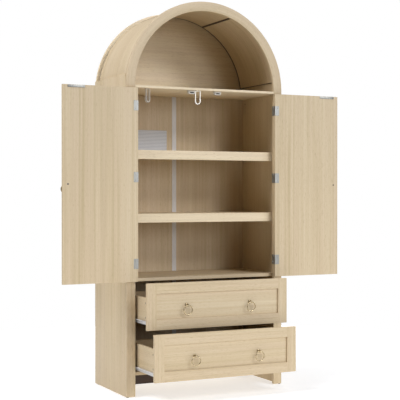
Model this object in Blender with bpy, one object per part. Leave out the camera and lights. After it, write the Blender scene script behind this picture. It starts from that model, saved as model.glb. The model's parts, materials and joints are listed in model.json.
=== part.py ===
"""Arched armoire: a carcass with an open niche under a round top, two hinged doors
over three shelf bays, and two drawers on roller runners.

Metres, +Z up, the doors and drawers face -Y. Depths are counted from the front plane
of the face frame, then shifted so that the world origin is on the floor, midway
between the foremost pull and the rear edge. The doors stand open, folded flat against
the face frame, and both drawers are partly pulled out.
"""
import math

import bmesh
import bpy
from mathutils import Matrix, Vector

# Carcass
WIDTH = 0.800
DEPTH = 0.400
HEIGHT = 1.800
BOARD = 0.015
FIT_GAP = 0.0003
FRAME_WIDTH = 0.043
EDGE_EASING = 0.0006
GLIDE_HEIGHT = 0.003
GLIDE_RADIUS = 0.006
GLIDE_TENON = 0.002
REAR_GLIDE_SETBACK = 0.030
ARCH_STEP_DEG = 2.5
CUT_OVERRUN = 0.005

# Arched top
NICHE_BOARD = 0.010
SIDE_ABOVE_NICHE = 0.050
SHELL_OVER_BOARD = 0.003
SHELL_THICKNESS = 0.004
SHELL_JOINT_DEG = 25.0
SHELL_JOINT_GAP = 0.004
GROOVE_DEPTH = 0.004
GROOVE_OVERRUN_DEG = 1.0
STRIP_INNER_HALF = 0.0035
STRIP_OUTER_HALF = 0.0090
STRIP_INNER_LIP = 0.001
STRIP_OUTER_LIP = 0.0015
STRIP_BITE = 0.001

# Base, counted up from the floor
KICK_BOTTOM_Z = 0.055
BOTTOM_BOARD_Z = 0.095
BOARD_BEHIND_FRAME = 0.0015
FRONT_ABOVE_BOTTOM = 0.001
DRAWER_GAP = 0.009
DECK_ABOVE_DRAWERS = 0.014
DOOR_OVER_DECK = 0.0135

# Cabinet behind the doors
SHELF_HEIGHTS = (0.3384, 0.6743)
SHELF_LIP_HEIGHT = 0.041
SHELF_BEHIND_FRAME = 0.005
SHELF_REAR_GAP = 0.003
REAR_SPACE = 0.037
BACK_PANEL_THICKNESS = 0.0035
GROOVE_IN_SIDES = 0.0055
BACK_STRIP_HALF = 0.011
BACK_STRIP_WEB_HALF = 0.0009
BACK_STRIP_FLANGE = 0.001

# Doors and their hinges
DOOR_SIDE_GAP = 0.003
DOOR_MEETING_GAP = 0.004
DOOR_TOP_GAP = 0.003
FRONT_RAIL_WIDTH = 0.046
RECESS_DEPTH = 0.005
HINGE_HEIGHT = 0.045
HINGE_LEAF = 0.0008
HINGE_WRAP_WIDTH = 0.022
HINGE_SHARES = (0.0928, 0.5389, 0.9078)
HINGE_AXIS_INSET = 0.0037
KNUCKLE_RADIUS = 0.0030
PIN_HOLE_RADIUS = 0.0015
PIN_RADIUS = 0.0012
PIN_END_GAP = 0.002
TAB_OVERLAP = 0.001
TAB_INSET = 0.00005
LEAF_REAR_GAP = 0.0005

# Drawers and their runners
DRAWER_FRONT_HEIGHT = 0.207
DRAWER_SIDE_DROP = 0.065
DRAWER_SIDE_RISE = 0.0245
DRAWER_WALL = 0.012
DRAWER_BOTTOM = 0.003
DRAWER_BOTTOM_RISE = 0.0072
DRAWER_SLOT_DEPTH = 0.004
DRAWER_REAR_SPACE = 0.055
UPPER_DRAWER_OPEN = 0.1265
LOWER_DRAWER_OPEN = 0.209
RUNNER_SPACE = 0.012
RUNNER_METAL = 0.001
CHANNEL_HEIGHT = 0.016
CHANNEL_LIP = 0.008
WING_RISE = 0.0146
WING_GAP = 0.0028
DRAWER_RUNNER_SETBACK = 0.004
ROLLER_RADIUS = 0.0055
ROLLER_RISE = 0.0079
ROLLER_FROM_END = 0.008
CABINET_ROLLER_WIDTH = 0.0095
DRAWER_ROLLER_GAP = 0.0035

# Ring pulls
PULL_SPREAD = 0.160
DOOR_PULL_INSET = 0.0236
RING_RADIUS = 0.0215
RING_WIRE = 0.0020
RING_STEPS = 28
RING_SIDES = 8
PULL_STAND_OFF = 0.015
EYE_RADIUS = 0.0055
EYE_LENGTH = 0.0070
EYE_HOLE_RADIUS = 0.0028
STEM_RADIUS = 0.0035
STEM_INTO_EYE = 0.0012
ROSE_RADIUS = 0.0075
ROSE_THICKNESS = 0.0028
POST_INTO_FRONT = 0.0020
ROUND_SIDES = 20
SMALL_ROUND_SIDES = 16

# Catches and hanging loops
CATCH_CENTRE_X = 0.067
CATCH_SIZE = (0.036, 0.015, 0.016)
CATCH_BEHIND_FRAME = 0.0028
CATCH_SHOULDER = 0.35
CATCH_TAPER = 0.004
LOOP_WIDTH = 0.027
LOOP_HEIGHT = 0.063
LOOP_BAR = 0.003
LOOP_DEPTH = 0.010
LOOP_BEND_STEPS = 12
LOOP_BEHIND_FRAME = 0.0125
LOOP_PLACES = ((-0.0345, 0.0), (-0.286, 30.0))

# Derived positions
HALF = WIDTH / 2
OPENING_HALF = HALF - FRAME_WIDTH
INNER_HALF = HALF - BOARD
ARCH_Z = HEIGHT - HALF
NICHE_BOTTOM_Z = ARCH_Z - NICHE_BOARD
SIDE_TOP_Z = ARCH_Z + SIDE_ABOVE_NICHE
SHELL_OUTER = INNER_HALF + SHELL_OVER_BOARD
SHELL_INNER = SHELL_OUTER - SHELL_THICKNESS
REAR_BOARD_Y = DEPTH - BOARD
BACK_PANEL_Y = DEPTH - REAR_SPACE
EDGE_SETBACK = BOARD + BOARD_BEHIND_FRAME
SHELF_SETBACK = BOARD + SHELF_BEHIND_FRAME
LOWER_FRONT_Z = BOTTOM_BOARD_Z + FRONT_ABOVE_BOTTOM
UPPER_FRONT_Z = LOWER_FRONT_Z + DRAWER_FRONT_HEIGHT + DRAWER_GAP
DECK_TOP_Z = UPPER_FRONT_Z + DRAWER_FRONT_HEIGHT + DECK_ABOVE_DRAWERS
DOOR_BOTTOM_Z = DECK_TOP_Z - DOOR_OVER_DECK
DOOR_TOP_Z = NICHE_BOTTOM_Z - DOOR_TOP_GAP
DOOR_HEIGHT = DOOR_TOP_Z - DOOR_BOTTOM_Z
HINGE_AXIS_X = OPENING_HALF - HINGE_AXIS_INSET
HINGE_AXIS_Y = -KNUCKLE_RADIUS - FIT_GAP
DOOR_HINGE_EDGE = 2 * HINGE_AXIS_X - OPENING_HALF + DOOR_SIDE_GAP
DOOR_FREE_EDGE = 2 * HINGE_AXIS_X - DOOR_MEETING_GAP / 2
DOOR_OUTER_Y = 2 * HINGE_AXIS_Y
DOOR_INNER_Y = DOOR_OUTER_Y - BOARD
DRAWER_SIDE_X = OPENING_HALF - RUNNER_SPACE
DRAWER_LENGTH = DEPTH - BOARD - DRAWER_REAR_SPACE
PULL_REACH = PULL_STAND_OFF - RECESS_DEPTH + EYE_RADIUS
FRONT_Y = -(DEPTH - LOWER_DRAWER_OPEN - PULL_REACH) / 2

OAK = (0.70, 0.58, 0.42)
OAK_SHADE = (0.62, 0.50, 0.36)
OAK_INSIDE = (0.55, 0.43, 0.30)
WHITE_PLASTIC = (0.82, 0.82, 0.80)
WHITE_METAL = (0.85, 0.85, 0.84)
NICKEL = (0.62, 0.61, 0.59)
BRASS = (0.78, 0.60, 0.30)


def clear_scene():
    """Empty the scene."""
    for old in list(bpy.data.objects):
        bpy.data.objects.remove(old, do_unlink=True)


def material(name, colour, roughness, metallic):
    """One Principled material for one piece."""
    made = bpy.data.materials.new(name)
    made.use_nodes = True
    shader = made.node_tree.nodes["Principled BSDF"]
    shader.inputs["Base Color"].default_value = (*colour, 1.0)
    shader.inputs["Roughness"].default_value = roughness
    shader.inputs["Metallic"].default_value = metallic
    made.diffuse_color = (*colour, 1.0)
    return made


def place(name, mesh_parts, finish, origin=(0.0, 0.0, 0.0), parent=None):
    """Make an object from a bmesh in carcass coordinates, with its own origin point."""
    origin = Vector(origin)
    bmesh.ops.recalc_face_normals(mesh_parts, faces=mesh_parts.faces)
    bmesh.ops.translate(mesh_parts, verts=mesh_parts.verts, vec=-origin)
    mesh = bpy.data.meshes.new(name)
    mesh_parts.to_mesh(mesh)
    mesh_parts.free()
    made = bpy.data.objects.new(name, mesh)
    bpy.context.scene.collection.objects.link(made)
    made.location = origin + Vector((0.0, FRONT_Y, 0.0))
    if parent is not None:
        made.parent = parent
        made.location = made.location - parent.location
    colour, roughness, metallic = finish
    mesh.materials.append(material(name + "_finish", colour, roughness, metallic))
    return made


def joint_empty(name, point):
    """An empty on a joint's axis, which carries the pieces of one moving body."""
    made = bpy.data.objects.new(name, None)
    bpy.context.scene.collection.objects.link(made)
    made.empty_display_size = 0.05
    made.location = Vector(point) + Vector((0.0, FRONT_Y, 0.0))
    return made


def round_edges(piece, width, segments=1):
    """Soften a piece's sharp edges."""
    rounding = piece.modifiers.new("edge_rounding", "BEVEL")
    rounding.width = width
    rounding.segments = segments
    rounding.limit_method = "ANGLE"
    rounding.angle_limit = math.radians(40)
    return piece


def shade_round(piece, angle=30.0):
    """Smooth shading with sharp edges kept sharp."""
    piece.data.shade_smooth()
    piece.data.set_sharp_from_angle(angle=math.radians(angle))
    return piece


def along(axis, first, second, distance):
    """A point from two outline coordinates and a distance along the extrusion axis."""
    if axis == "X":
        return Vector((distance, first, second))
    if axis == "Y":
        return Vector((first, distance, second))
    return Vector((first, second, distance))


def prism(parts, outline, axis, start, end):
    """Extrude a closed outline along an axis."""
    base = [parts.verts.new(along(axis, u, v, start)) for u, v in outline]
    face = parts.faces.new(base)
    grown = bmesh.ops.extrude_face_region(parts, geom=[face])
    moved = [item for item in grown["geom"] if isinstance(item, bmesh.types.BMVert)]
    bmesh.ops.translate(parts, verts=moved, vec=along(axis, 0.0, 0.0, end - start))


def ring_prism(parts, outer, inner, axis, start, end):
    """Extrude the band between two closed outlines of equal point counts."""
    layers = []
    for outline in (outer, inner):
        for distance in (start, end):
            layers.append([parts.verts.new(along(axis, u, v, distance)) for u, v in outline])
    outer_start, outer_end, inner_start, inner_end = layers
    count = len(outer)
    for index in range(count):
        after = (index + 1) % count
        pairs = (
            (outer_start, outer_end),
            (outer_end, inner_end),
            (inner_end, inner_start),
            (inner_start, outer_start),
        )
        for first, second in pairs:
            parts.faces.new((first[index], first[after], second[after], second[index]))


def box(parts, low, high):
    """A rectangular block between two corners."""
    outline = ((low[0], low[1]), (high[0], low[1]), (high[0], high[1]), (low[0], high[1]))
    prism(parts, outline, "Z", low[2], high[2])


def board(name, low, high, finish, parent=None, rounding=EDGE_EASING):
    """One board with its origin at its centre."""
    parts = bmesh.new()
    box(parts, low, high)
    centre = [(a + b) / 2 for a, b in zip(low, high)]
    made = place(name, parts, finish, centre, parent)
    if rounding:
        round_edges(made, rounding)
    return made


def circle(centre_u, centre_v, radius, count, phase=0.5):
    """Points of a regular polygon on a circle."""
    step = math.tau / count
    return [
        (
            centre_u + radius * math.cos(step * (index + phase)),
            centre_v + radius * math.sin(step * (index + phase)),
        )
        for index in range(count)
    ]


def arc_angles(start_deg, end_deg):
    """Angles from start to end, with one at every arch step between them."""
    first = math.floor(start_deg / ARCH_STEP_DEG) + 1
    last = math.ceil(end_deg / ARCH_STEP_DEG) - 1
    middle = [step * ARCH_STEP_DEG for step in range(first, last + 1)]
    return [start_deg, *middle, end_deg]


def arch_point(radius, degrees):
    """A point on an arc about the arch centre; zero degrees is straight up."""
    turn = math.radians(degrees)
    return (radius * math.sin(turn), ARCH_Z + radius * math.cos(turn))


def arc_band(inner, outer, start_deg, end_deg):
    """Outline of a curved band between two radii."""
    angles = arc_angles(start_deg, end_deg)
    there = [arch_point(outer, angle) for angle in angles]
    back = [arch_point(inner, angle) for angle in reversed(angles)]
    return there + back


def combine(piece, tool_parts, operation, name):
    """Apply a Boolean with a hidden tool object made from a bmesh."""
    bmesh.ops.recalc_face_normals(tool_parts, faces=tool_parts.faces)
    mesh = bpy.data.meshes.new(name)
    tool_parts.to_mesh(mesh)
    tool_parts.free()
    tool = bpy.data.objects.new(name, mesh)
    bpy.context.scene.collection.objects.link(tool)
    tool.location = (0.0, FRONT_Y, 0.0)
    tool.hide_render = True
    tool.display_type = "WIRE"
    change = piece.modifiers.new(name, "BOOLEAN")
    change.operation = operation
    change.solver = "EXACT"
    change.object = tool
    return piece


OAK_FINISH = (OAK, 0.55, 0.0)
SIDE_FINISH = (OAK_SHADE, 0.55, 0.0)
INSIDE_FINISH = (OAK_INSIDE, 0.6, 0.0)
PLASTIC_FINISH = (WHITE_PLASTIC, 0.4, 0.0)
RUNNER_FINISH = (WHITE_METAL, 0.35, 0.3)
NICKEL_FINISH = (NICKEL, 0.3, 1.0)
BRASS_FINISH = (BRASS, 0.25, 1.0)


def shelf_top(share):
    """Height of a shelf's top face, as a share of the space behind the doors."""
    return DECK_TOP_Z + share * (NICHE_BOTTOM_Z - DECK_TOP_Z)


def glide(across, depth):
    """A nail-on glide under a foot of the carcass, from the floor into the wood."""
    parts = bmesh.new()
    disc = circle(across, depth, GLIDE_RADIUS, SMALL_ROUND_SIDES)
    prism(parts, disc, "Z", 0.0, GLIDE_HEIGHT + GLIDE_TENON)
    return parts


def side_panels():
    """Two side panels, each grooved for the rear panels, with a glide at the rear."""
    for label, side in (("left", -1), ("right", 1)):
        low = (min(side * INNER_HALF, side * HALF), BOARD + FIT_GAP, GLIDE_HEIGHT)
        high = (max(side * INNER_HALF, side * HALF), DEPTH, SIDE_TOP_Z - FIT_GAP)
        panel = board("side_panel_" + label, low, high, SIDE_FINISH, rounding=0.0)
        groove = bmesh.new()
        groove_x = sorted((side * (INNER_HALF - CUT_OVERRUN), side * (INNER_HALF + GROOVE_IN_SIDES)))
        box(
            groove,
            (groove_x[0], BACK_PANEL_Y - FIT_GAP, BOTTOM_BOARD_Z - FIT_GAP),
            (groove_x[1], BACK_PANEL_Y + BACK_PANEL_THICKNESS + FIT_GAP, NICHE_BOTTOM_Z),
        )
        combine(panel, groove, "DIFFERENCE", "panel_groove_" + label)
        foot = glide(side * (HALF - BOARD / 2), DEPTH - REAR_GLIDE_SETBACK)
        combine(panel, foot, "UNION", "rear_glide_" + label)


def face_frame():
    """The two stiles and the round front of the niche that stands on them."""
    for label, side in (("left", -1), ("right", 1)):
        low = (min(side * OPENING_HALF, side * HALF), 0.0, GLIDE_HEIGHT)
        high = (max(side * OPENING_HALF, side * HALF), BOARD, NICHE_BOTTOM_Z - FIT_GAP)
        stile = board("stile_" + label, low, high, OAK_FINISH)
        foot = glide(side * (HALF - BOARD / 2), BOARD / 2)
        combine(stile, foot, "UNION", "front_glide_" + label)
    angles = arc_angles(-90.0, 90.0)
    outer = [(-HALF, NICHE_BOTTOM_Z)]
    outer += [arch_point(HALF, angle) for angle in angles]
    outer += [(HALF, NICHE_BOTTOM_Z)]
    inner = [(OPENING_HALF, NICHE_BOTTOM_Z)]
    inner += [arch_point(OPENING_HALF, angle) for angle in reversed(angles)]
    inner += [(-OPENING_HALF, NICHE_BOTTOM_Z)]
    parts = bmesh.new()
    prism(parts, outer + inner, "Y", 0.0, BOARD)
    front = place("arch_front", parts, OAK_FINISH, (0.0, BOARD / 2, ARCH_Z))
    groove = shell_groove(BOARD - GROOVE_DEPTH, BOARD + CUT_OVERRUN)
    combine(front, groove, "DIFFERENCE", "front_groove")
    shade_round(front)


def shell_end_deg():
    """Angle at which the curved shell meets the top of the side panels."""
    return math.degrees(math.acos(SIDE_ABOVE_NICHE / SHELL_OUTER))


def shell_groove(start, end):
    """The curved slot that holds an edge of the shell."""
    reach = shell_end_deg() + GROOVE_OVERRUN_DEG
    parts = bmesh.new()
    outline = arc_band(SHELL_INNER - FIT_GAP, SHELL_OUTER + FIT_GAP, -reach, reach)
    prism(parts, outline, "Y", start, end)
    return parts


def arch_rear_board():
    """The round rear board, notched to sit between and over the side panels."""
    inside = INNER_HALF - FIT_GAP
    over = SIDE_TOP_Z + FIT_GAP
    start = math.degrees(math.acos((over - ARCH_Z) / HALF))
    outline = [(-inside, over)]
    outline += [arch_point(HALF, angle) for angle in arc_angles(-start, start)]
    outline += [(inside, over), (inside, NICHE_BOTTOM_Z), (-inside, NICHE_BOTTOM_Z)]
    parts = bmesh.new()
    prism(parts, outline, "Y", REAR_BOARD_Y, DEPTH)
    rear = place("arch_rear", parts, SIDE_FINISH, (0.0, DEPTH - BOARD / 2, ARCH_Z))
    groove = shell_groove(REAR_BOARD_Y - CUT_OVERRUN, REAR_BOARD_Y + GROOVE_DEPTH)
    combine(rear, groove, "DIFFERENCE", "rear_groove")
    shade_round(rear)


def curved_shell():
    """Three bent panels between the front and rear boards, joined by two strips."""
    half_gap = math.degrees(SHELL_JOINT_GAP / 2 / SHELL_INNER)
    end = shell_end_deg()
    start_y = BOARD - GROOVE_DEPTH + FIT_GAP
    end_y = REAR_BOARD_Y + GROOVE_DEPTH - FIT_GAP
    spans = (
        ("shell_left", -end, -SHELL_JOINT_DEG - half_gap),
        ("shell_top", -SHELL_JOINT_DEG + half_gap, SHELL_JOINT_DEG - half_gap),
        ("shell_right", SHELL_JOINT_DEG + half_gap, end),
    )
    for name, first, last in spans:
        parts = bmesh.new()
        prism(parts, arc_band(SHELL_INNER, SHELL_OUTER, first, last), "Y", start_y, end_y)
        panel = place(name, parts, SIDE_FINISH, (0.0, DEPTH / 2, ARCH_Z))
        if name == "shell_top":
            combine(panel, joint_strips(), "UNION", "shell_joint_strips")
        shade_round(panel)


def joint_strips():
    """Two lipped strips on the long edges of the top panel, which take the side panels."""
    web = SHELL_JOINT_GAP / 2 - FIT_GAP
    low = SHELL_INNER - 2 * FIT_GAP
    top = SHELL_OUTER + FIT_GAP
    bite = SHELL_JOINT_GAP / 2 + STRIP_BITE
    inner_lip = low - STRIP_INNER_LIP
    outer_lip = top + STRIP_OUTER_LIP
    parts = bmesh.new()
    for side in (-1, 1):
        profile = [
            (STRIP_INNER_HALF, inner_lip), (STRIP_INNER_HALF, low), (web, low), (web, top),
            (STRIP_OUTER_HALF, top), (STRIP_OUTER_HALF, outer_lip),
            (-STRIP_OUTER_HALF, outer_lip), (-STRIP_OUTER_HALF, top), (-bite, top),
            (-bite, low), (-STRIP_INNER_HALF, low), (-STRIP_INNER_HALF, inner_lip),
        ]
        turn = math.radians(side * SHELL_JOINT_DEG)
        turned = []
        for across, reach in profile:
            outward = side * across
            turned.append((
                outward * math.cos(turn) + reach * math.sin(turn),
                ARCH_Z + reach * math.cos(turn) - outward * math.sin(turn),
            ))
        prism(parts, turned, "Y", BOARD + FIT_GAP, REAR_BOARD_Y - FIT_GAP)
    return parts


def horizontal_boards():
    """Niche floor, cabinet deck, bottom board and kick rail."""
    inside = INNER_HALF - FIT_GAP
    mouth = OPENING_HALF - FIT_GAP
    step = BOARD + FIT_GAP
    outline = (
        (-mouth, 0.0), (mouth, 0.0), (mouth, step), (inside, step),
        (inside, REAR_BOARD_Y - FIT_GAP), (-inside, REAR_BOARD_Y - FIT_GAP),
        (-inside, step), (-mouth, step),
    )
    parts = bmesh.new()
    prism(parts, outline, "Z", NICHE_BOTTOM_Z, ARCH_Z)
    place("niche_floor", parts, OAK_FINISH, (0.0, DEPTH / 2, ARCH_Z))
    rear = BACK_PANEL_Y - SHELF_REAR_GAP
    for name, under in (("cabinet_deck", DECK_TOP_Z - BOARD), ("bottom_board", BOTTOM_BOARD_Z)):
        board(
            name, (-inside, EDGE_SETBACK, under), (inside, rear, under + BOARD), INSIDE_FINISH,
        )
    board(
        "kick_rail", (-inside, EDGE_SETBACK, KICK_BOTTOM_Z),
        (inside, EDGE_SETBACK + BOARD, BOTTOM_BOARD_Z - FIT_GAP), INSIDE_FINISH,
    )


def rear_panels():
    """Two thin rear panels in the side grooves, with the strip that joins them."""
    groove_end = INNER_HALF + GROOVE_IN_SIDES - FIT_GAP
    low = BOTTOM_BOARD_Z
    high = NICHE_BOTTOM_Z - FIT_GAP
    half_web = BACK_STRIP_WEB_HALF
    inner_edge = half_web + FIT_GAP
    rear = BACK_PANEL_Y + BACK_PANEL_THICKNESS
    for label, side in (("left", -1), ("right", 1)):
        edges = sorted((side * inner_edge, side * groove_end))
        board(
            "back_panel_" + label, (edges[0], BACK_PANEL_Y, low),
            (edges[1], rear, high), INSIDE_FINISH, rounding=0.0,
        )
    flange = BACK_STRIP_HALF
    front_face = BACK_PANEL_Y - FIT_GAP
    rear_face = rear + FIT_GAP
    front_lip = front_face - BACK_STRIP_FLANGE
    rear_lip = rear_face + BACK_STRIP_FLANGE
    outline = (
        (-flange, front_lip), (flange, front_lip), (flange, front_face),
        (half_web, front_face), (half_web, rear_face), (flange, rear_face),
        (flange, rear_lip), (-flange, rear_lip), (-flange, rear_face),
        (-half_web, rear_face), (-half_web, front_face), (-flange, front_face),
    )
    parts = bmesh.new()
    prism(parts, outline, "Z", low, high)
    place("back_joiner_strip", parts, PLASTIC_FINISH, (0.0, BACK_PANEL_Y, (low + high) / 2))


def shelves():
    """Two shelves, each one board with a deep lip along its front edge."""
    inside = INNER_HALF - FIT_GAP
    lip_back = SHELF_SETBACK + BOARD
    rear = BACK_PANEL_Y - SHELF_REAR_GAP
    for label, share in (("lower", SHELF_HEIGHTS[0]), ("upper", SHELF_HEIGHTS[1])):
        top = shelf_top(share)
        outline = (
            (SHELF_SETBACK, top - SHELF_LIP_HEIGHT), (lip_back, top - SHELF_LIP_HEIGHT),
            (lip_back, top - BOARD), (rear, top - BOARD), (rear, top), (SHELF_SETBACK, top),
        )
        parts = bmesh.new()
        prism(parts, outline, "X", -inside, inside)
        shelf = place("shelf_" + label, parts, OAK_FINISH, (0.0, DEPTH / 2, top))
        round_edges(shelf, EDGE_EASING)


def magnetic_catches():
    """Two catches under the niche floor that hold the closed doors."""
    width, depth, height = CATCH_SIZE
    start = BOARD + CATCH_BEHIND_FRAME
    top = NICHE_BOTTOM_Z - FIT_GAP
    shoulder = top - height * CATCH_SHOULDER
    for label, side in (("left", -1), ("right", 1)):
        centre = side * CATCH_CENTRE_X
        low = centre - width / 2
        high = centre + width / 2
        outline = (
            (low, top), (high, top), (high, shoulder), (high - CATCH_TAPER, top - height),
            (low + CATCH_TAPER, top - height), (low, shoulder),
        )
        parts = bmesh.new()
        prism(parts, outline, "Y", start, start + depth)
        catch = place("magnetic_catch_" + label, parts, PLASTIC_FINISH, (centre, start, top))
        round_edges(catch, EDGE_EASING)


def hanging_loops():
    """Two metal loops under the niche floor, one square to the front and one turned."""
    half = LOOP_WIDTH / 2
    top = NICHE_BOTTOM_Z - FIT_GAP
    bend_z = top - LOOP_HEIGHT + half
    for label, (centre, turn_deg) in zip(("middle", "left"), LOOP_PLACES):
        rings = []
        for inset in (0.0, LOOP_BAR):
            radius = half - inset
            ring = [(radius, top - inset)]
            for step in range(LOOP_BEND_STEPS + 1):
                turn = -math.pi * step / LOOP_BEND_STEPS
                ring.append((radius * math.cos(turn), bend_z + radius * math.sin(turn)))
            ring.append((-radius, top - inset))
            rings.append(ring)
        parts = bmesh.new()
        ring_prism(parts, rings[0], rings[1], "Y", -LOOP_DEPTH / 2, LOOP_DEPTH / 2)
        spin = Matrix.Rotation(math.radians(turn_deg), 3, "Z")
        bmesh.ops.rotate(parts, verts=parts.verts, cent=(0.0, 0.0, 0.0), matrix=spin)
        spot = Vector((centre, BOARD + LOOP_BEHIND_FRAME, 0.0))
        bmesh.ops.translate(parts, verts=parts.verts, vec=spot)
        shade_round(place("hanging_loop_" + label, parts, NICKEL_FINISH, (*spot.xy, top)))


def recessed_front(name, low, high, face_y, inward, border, finish, parent):
    """A framed front: a board whose outer face is set back inside a flat border."""
    parts = bmesh.new()
    outline = ((low[0], low[1]), (high[0], low[1]), (high[0], high[1]), (low[0], high[1]))
    back_y = face_y + inward * BOARD
    prism(parts, outline, "Y", face_y, back_y)
    outer_faces = [
        face for face in parts.faces
        if all(abs(corner.co.y - face_y) < 1e-6 for corner in face.verts)
    ]
    bmesh.ops.recalc_face_normals(parts, faces=parts.faces)
    bmesh.ops.inset_region(parts, faces=outer_faces, thickness=border, depth=0.0)
    sunk = bmesh.ops.extrude_face_region(parts, geom=outer_faces)
    moved = [item for item in sunk["geom"] if isinstance(item, bmesh.types.BMVert)]
    bmesh.ops.translate(parts, verts=moved, vec=(0.0, inward * RECESS_DEPTH, 0.0))
    bmesh.ops.delete(parts, geom=outer_faces, context="FACES_ONLY")
    centre = ((low[0] + high[0]) / 2, (face_y + back_y) / 2, (low[1] + high[1]) / 2)
    made = place(name, parts, finish, centre, parent)
    return round_edges(made, EDGE_EASING)


def add_pull_posts(front, spots, height, face_y, outward):
    """Join the posts of the pulls to a front: a rose, a stem and an eye for the ring."""
    eye_y = face_y + outward * PULL_STAND_OFF
    inside_y = face_y - outward * POST_INTO_FRONT
    rose_face = face_y + outward * ROSE_THICKNESS
    into_eye = eye_y - outward * (EYE_RADIUS - STEM_INTO_EYE)
    eyes = bmesh.new()
    stems = bmesh.new()
    roses = bmesh.new()
    for across in spots:
        ring_prism(
            eyes, circle(eye_y, height, EYE_RADIUS, ROUND_SIDES),
            circle(eye_y, height, EYE_HOLE_RADIUS, ROUND_SIDES),
            "X", across - EYE_LENGTH / 2, across + EYE_LENGTH / 2,
        )
        stem = circle(across, height, STEM_RADIUS, SMALL_ROUND_SIDES)
        prism(stems, stem, "Y", *sorted((inside_y, into_eye)))
        rose = circle(across, height, ROSE_RADIUS, ROUND_SIDES)
        prism(roses, rose, "Y", *sorted((inside_y, rose_face)))
    combine(front, roses, "UNION", front.name + "_roses")
    combine(front, stems, "UNION", front.name + "_stems")
    combine(front, eyes, "UNION", front.name + "_eyes")
    shade_round(front)


def pull_ring(label, across, height, face_y, outward, parent):
    """The wire ring that hangs in a post's eye, with its origin on the swing axis."""
    eye_y = face_y + outward * PULL_STAND_OFF
    parts = bmesh.new()
    loops = []
    for step in range(RING_STEPS):
        turn = math.tau * step / RING_STEPS
        loop = []
        for side in range(RING_SIDES):
            roll = math.tau * (side + 0.5) / RING_SIDES
            reach = RING_RADIUS + RING_WIRE * math.cos(roll)
            loop.append(parts.verts.new((
                across + reach * math.sin(turn),
                eye_y + RING_WIRE * math.sin(roll),
                height - RING_RADIUS + reach * math.cos(turn),
            )))
        loops.append(loop)
    for step, loop in enumerate(loops):
        after = loops[(step + 1) % len(loops)]
        for side in range(RING_SIDES):
            beside = (side + 1) % RING_SIDES
            parts.faces.new((loop[side], loop[beside], after[beside], after[side]))
    ring = place("pull_ring_" + label, parts, BRASS_FINISH, (across, eye_y, height), parent)
    shade_round(ring, 60.0)


def hinge_levels():
    """Heights of the hinge centres on a door."""
    return [DOOR_BOTTOM_Z + share * DOOR_HEIGHT for share in HINGE_SHARES]


def knuckle_spans(level):
    """The three stretches of a knuckle, bottom to top: frame, door, frame."""
    bottom = level - HINGE_HEIGHT / 2
    third = HINGE_HEIGHT / 3
    return [
        (bottom + index * third + FIT_GAP / 2, bottom + (index + 1) * third - FIT_GAP / 2)
        for index in range(3)
    ]


def hinge_leaf(name, side, level, on_door, parent):
    """One leaf of a hinge; the frame's leaf carries the pin, the door's turns on it."""
    axis_x = side * HINGE_AXIS_X
    axis_y = HINGE_AXIS_Y
    held_edge = DOOR_HINGE_EDGE if on_door else OPENING_HALF
    leaf_far = side * (held_edge - FIT_GAP)
    leaf_near = side * (held_edge - FIT_GAP - HINGE_LEAF)
    edges = sorted((leaf_near, leaf_far))
    low = level - HINGE_HEIGHT / 2
    high = level + HINGE_HEIGHT / 2
    spans = knuckle_spans(level)
    plate = bmesh.new()
    knuckles = bmesh.new()
    if on_door:
        own = spans[1:2]
        outer = DOOR_INNER_Y - FIT_GAP - HINGE_LEAF
        reach = leaf_near + side * HINGE_WRAP_WIDTH
        outline = (
            (leaf_near, DOOR_OUTER_Y - FIT_GAP), (leaf_near, outer), (reach, outer),
            (reach, DOOR_INNER_Y - FIT_GAP), (leaf_far, DOOR_INNER_Y - FIT_GAP),
            (leaf_far, DOOR_OUTER_Y - FIT_GAP),
        )
        prism(plate, outline, "Z", low, high)
        tab_y = (DOOR_OUTER_Y - TAB_OVERLAP, axis_y - PIN_HOLE_RADIUS - FIT_GAP)
    else:
        own = (spans[0], spans[2])
        box(plate, (edges[0], FIT_GAP, low), (edges[1], BOARD - LEAF_REAR_GAP, high))
        tab_y = (axis_y, TAB_OVERLAP)
    tabs = bmesh.new()
    for start, end in own:
        barrel = circle(axis_x, axis_y, KNUCKLE_RADIUS, SMALL_ROUND_SIDES)
        if on_door:
            bore = circle(axis_x, axis_y, PIN_HOLE_RADIUS, SMALL_ROUND_SIDES)
            ring_prism(knuckles, barrel, bore, "Z", start, end)
        else:
            prism(knuckles, barrel, "Z", start, end)
        tab_low = (edges[0] + TAB_INSET, tab_y[0], start)
        tab_high = (edges[1] - TAB_INSET, tab_y[1], end)
        box(tabs, tab_low, tab_high)
    leaf = place(name, plate, NICKEL_FINISH, (axis_x, axis_y, level), parent)
    combine(leaf, tabs, "UNION", name + "_tabs")
    combine(leaf, knuckles, "UNION", name + "_knuckles")
    if not on_door:
        pin = bmesh.new()
        shank = circle(axis_x, axis_y, PIN_RADIUS, SMALL_ROUND_SIDES)
        prism(pin, shank, "Z", low + PIN_END_GAP, high - PIN_END_GAP)
        combine(leaf, pin, "UNION", name + "_pin")
    shade_round(leaf)


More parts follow.
